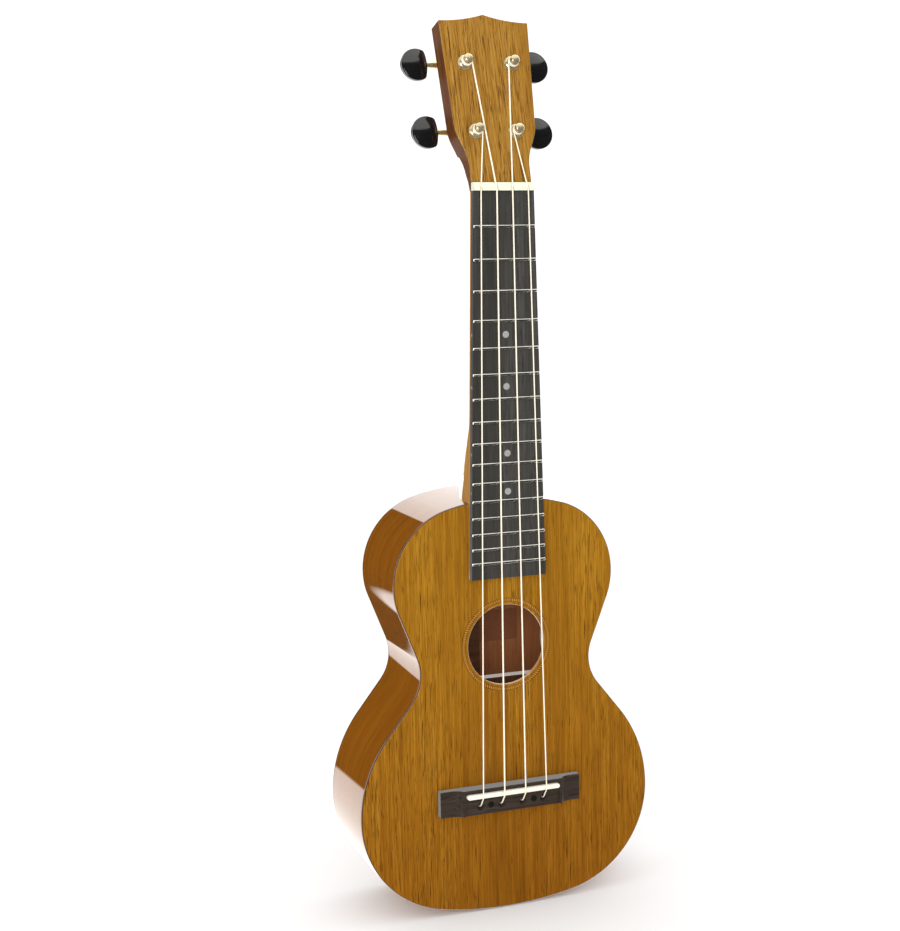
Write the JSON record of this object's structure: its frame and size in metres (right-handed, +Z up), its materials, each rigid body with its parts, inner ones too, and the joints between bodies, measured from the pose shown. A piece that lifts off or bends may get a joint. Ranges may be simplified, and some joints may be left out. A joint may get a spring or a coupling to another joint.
{
  "type": "ukulele",
  "caption": "Four-stringed concert ukulele with a round soundhole, fretted neck, crowned headstock and open-gear tuners with dark buttons.",
  "frame": {"origin": "middle of the flat back's outer face, half way along the body", "axes": "+Z up the neck towards the headstock, +X to the viewer's right when facing the soundboard, the soundboard faces -Y and the back +Y"},
  "size_m": [0.1986, 0.0794, 0.5672],
  "materials": {
    "top_wood": "gloss lacquer, straight grain",
    "body_wood": "gloss lacquer",
    "neck_wood": "satin lacquer",
    "inner_wood": "bare",
    "board_wood": "satin, blackened",
    "bridge_wood": "satin, blackened",
    "rosette": "inlay under gloss lacquer",
    "label": "matt paper",
    "bone": "polished",
    "nylon": "translucent gloss",
    "fret_metal": "polished",
    "marker": "gloss",
    "brass": "polished, pale",
    "steel": "zinc plated",
    "black_plastic": "satin",
    "button_black": "gloss"
  },
  "bodies": {
    "root": {"soundboard": "top_wood", "back_plate": "body_wood", "side_left": "body_wood", "side_right": "body_wood", "neck": "neck_wood", "headstock_veneer": "top_wood", "heel_block": "inner_wood", "tail_block": "inner_wood", "linings": "inner_wood", "soundboard_braces": "inner_wood", "bridge_plate": "inner_wood", "back_braces": "inner_wood", "back_centre_strip": "inner_wood", "rosette": "rosette", "label": "label", "bridge": "bridge_wood", "saddle": "bone", "bridge_bolts": "steel", "bridge_nuts": "steel", "bolt_caps": "black_plastic", "fretboard": "board_wood", "nut": "bone", "frets": "fret_metal", "fret_markers": "marker", "side_markers": "marker", "neck_dowels": "inner_wood", "string_1": "nylon", "string_2": "nylon", "string_3": "nylon", "string_4": "nylon", "tuner_plate_1": "brass", "tuner_plate_2": "brass", "tuner_plate_3": "brass", "tuner_plate_4": "brass", "post_bushings": "brass", "tuner_screws": "brass"},
    "knob_1": {"worm_shaft_1": "brass", "button_1": "button_black"},
    "post_1": {"string_post_1": "brass", "worm_wheel_1": "brass", "gear_screw_1": "brass", "winding_1": "nylon"},
    "knob_2": {"worm_shaft_2": "brass", "button_2": "button_black"},
    "post_2": {"string_post_2": "brass", "worm_wheel_2": "brass", "gear_screw_2": "brass", "winding_2": "nylon"},
    "knob_3": {"worm_shaft_3": "brass", "button_3": "button_black"},
    "post_3": {"string_post_3": "brass", "worm_wheel_3": "brass", "gear_screw_3": "brass", "winding_3": "nylon"},
    "knob_4": {"worm_shaft_4": "brass", "button_4": "button_black"},
    "post_4": {"string_post_4": "brass", "worm_wheel_4": "brass", "gear_screw_4": "brass", "winding_4": "nylon"}
  },
  "joints": [
    {"name": "knob_1_turn", "type": "hinge", "parent": "root", "child": "knob_1", "pos_m": [-0.025, -0.03978, 0.361], "axis": [-1, 0, 0], "continuous": true},
    {"name": "post_1_turn", "type": "hinge", "parent": "root", "child": "post_1", "pos_m": [-0.013, -0.06172, 0.36026], "axis": [0, -0.9659, 0.2588], "continuous": true},
    {"name": "knob_2_turn", "type": "hinge", "parent": "root", "child": "knob_2", "pos_m": [-0.0272, -0.0286, 0.40273], "axis": [-1, 0, 0], "continuous": true},
    {"name": "post_2_turn", "type": "hinge", "parent": "root", "child": "post_2", "pos_m": [-0.0152, -0.05054, 0.40199], "axis": [0, -0.9659, 0.2588], "continuous": true},
    {"name": "knob_3_turn", "type": "hinge", "parent": "root", "child": "knob_3", "pos_m": [0.0272, -0.0286, 0.40273], "axis": [1, 0, 0], "continuous": true},
    {"name": "post_3_turn", "type": "hinge", "parent": "root", "child": "post_3", "pos_m": [0.0152, -0.05054, 0.40199], "axis": [0, -0.9659, 0.2588], "continuous": true},
    {"name": "knob_4_turn", "type": "hinge", "parent": "root", "child": "knob_4", "pos_m": [0.025, -0.03978, 0.361], "axis": [1, 0, 0], "continuous": true},
    {"name": "post_4_turn", "type": "hinge", "parent": "root", "child": "post_4", "pos_m": [0.013, -0.06172, 0.36026], "axis": [0, -0.9659, 0.2588], "continuous": true}
  ],
  "couplings": [
    {"joint": "post_1_turn", "follows": "knob_1_turn", "ratio": 0.071429},
    {"joint": "post_2_turn", "follows": "knob_2_turn", "ratio": 0.071429},
    {"joint": "post_3_turn", "follows": "knob_3_turn", "ratio": 0.071429},
    {"joint": "post_4_turn", "follows": "knob_4_turn", "ratio": 0.071429}
  ]
}
